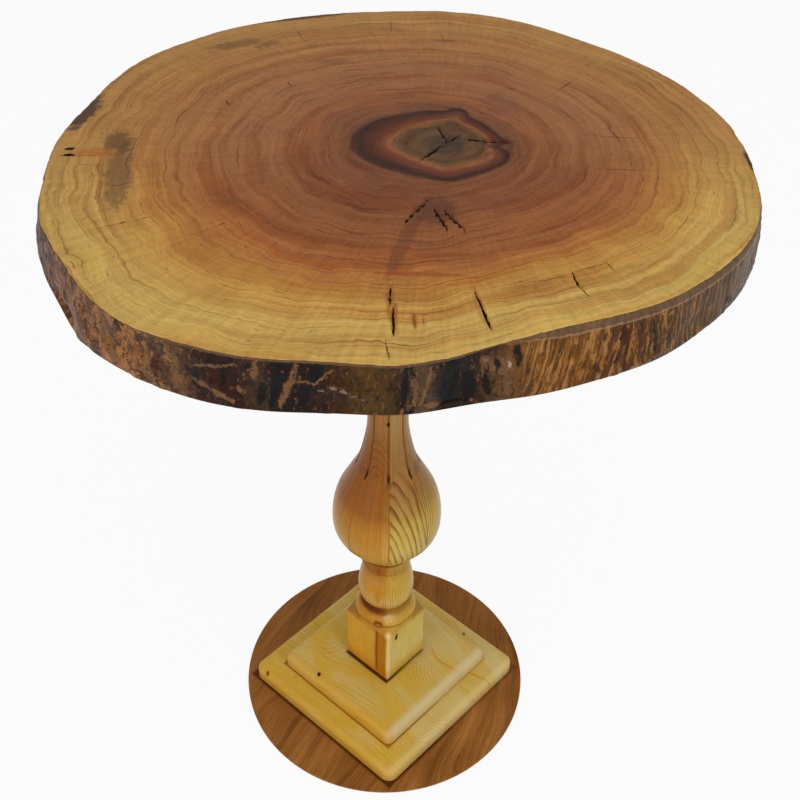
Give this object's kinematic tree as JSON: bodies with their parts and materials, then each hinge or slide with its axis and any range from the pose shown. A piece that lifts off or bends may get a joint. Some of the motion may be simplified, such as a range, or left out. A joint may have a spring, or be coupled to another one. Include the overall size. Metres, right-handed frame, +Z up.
{
  "type": "pedestal table",
  "caption": "Rustic pedestal table: cross-cut hickory slab with natural edge on a turned pine column, stepped square plates and a thin round base board.",
  "frame": {"origin": "on the column's axis at the floor, the middle of the base board's underside", "axes": "+Z up along the column; -Y towards the front, where one corner of the square plates points; +X to the right"},
  "size_m": [0.6431, 0.6136, 0.757],
  "materials": {
    "hickory": "gloss varnish on end grain",
    "pine": "clear gloss varnish",
    "dark_board": "satin stained oak",
    "wedge_wood": "bare hardwood",
    "steel": "zinc plated"
  },
  "bodies": {
    "root": {"tabletop_slab": "hickory", "top_cleat": "pine", "cleat_screws": "steel", "cleat_washers": "steel", "tenon_wedge": "wedge_wood", "column": "pine", "upper_plate": "pine", "lower_plate": "pine", "plate_screws": "steel", "lag_screw": "steel", "lag_washer": "steel", "base_disc": "dark_board", "disc_screws": "steel"}
  },
  "joints": []
}
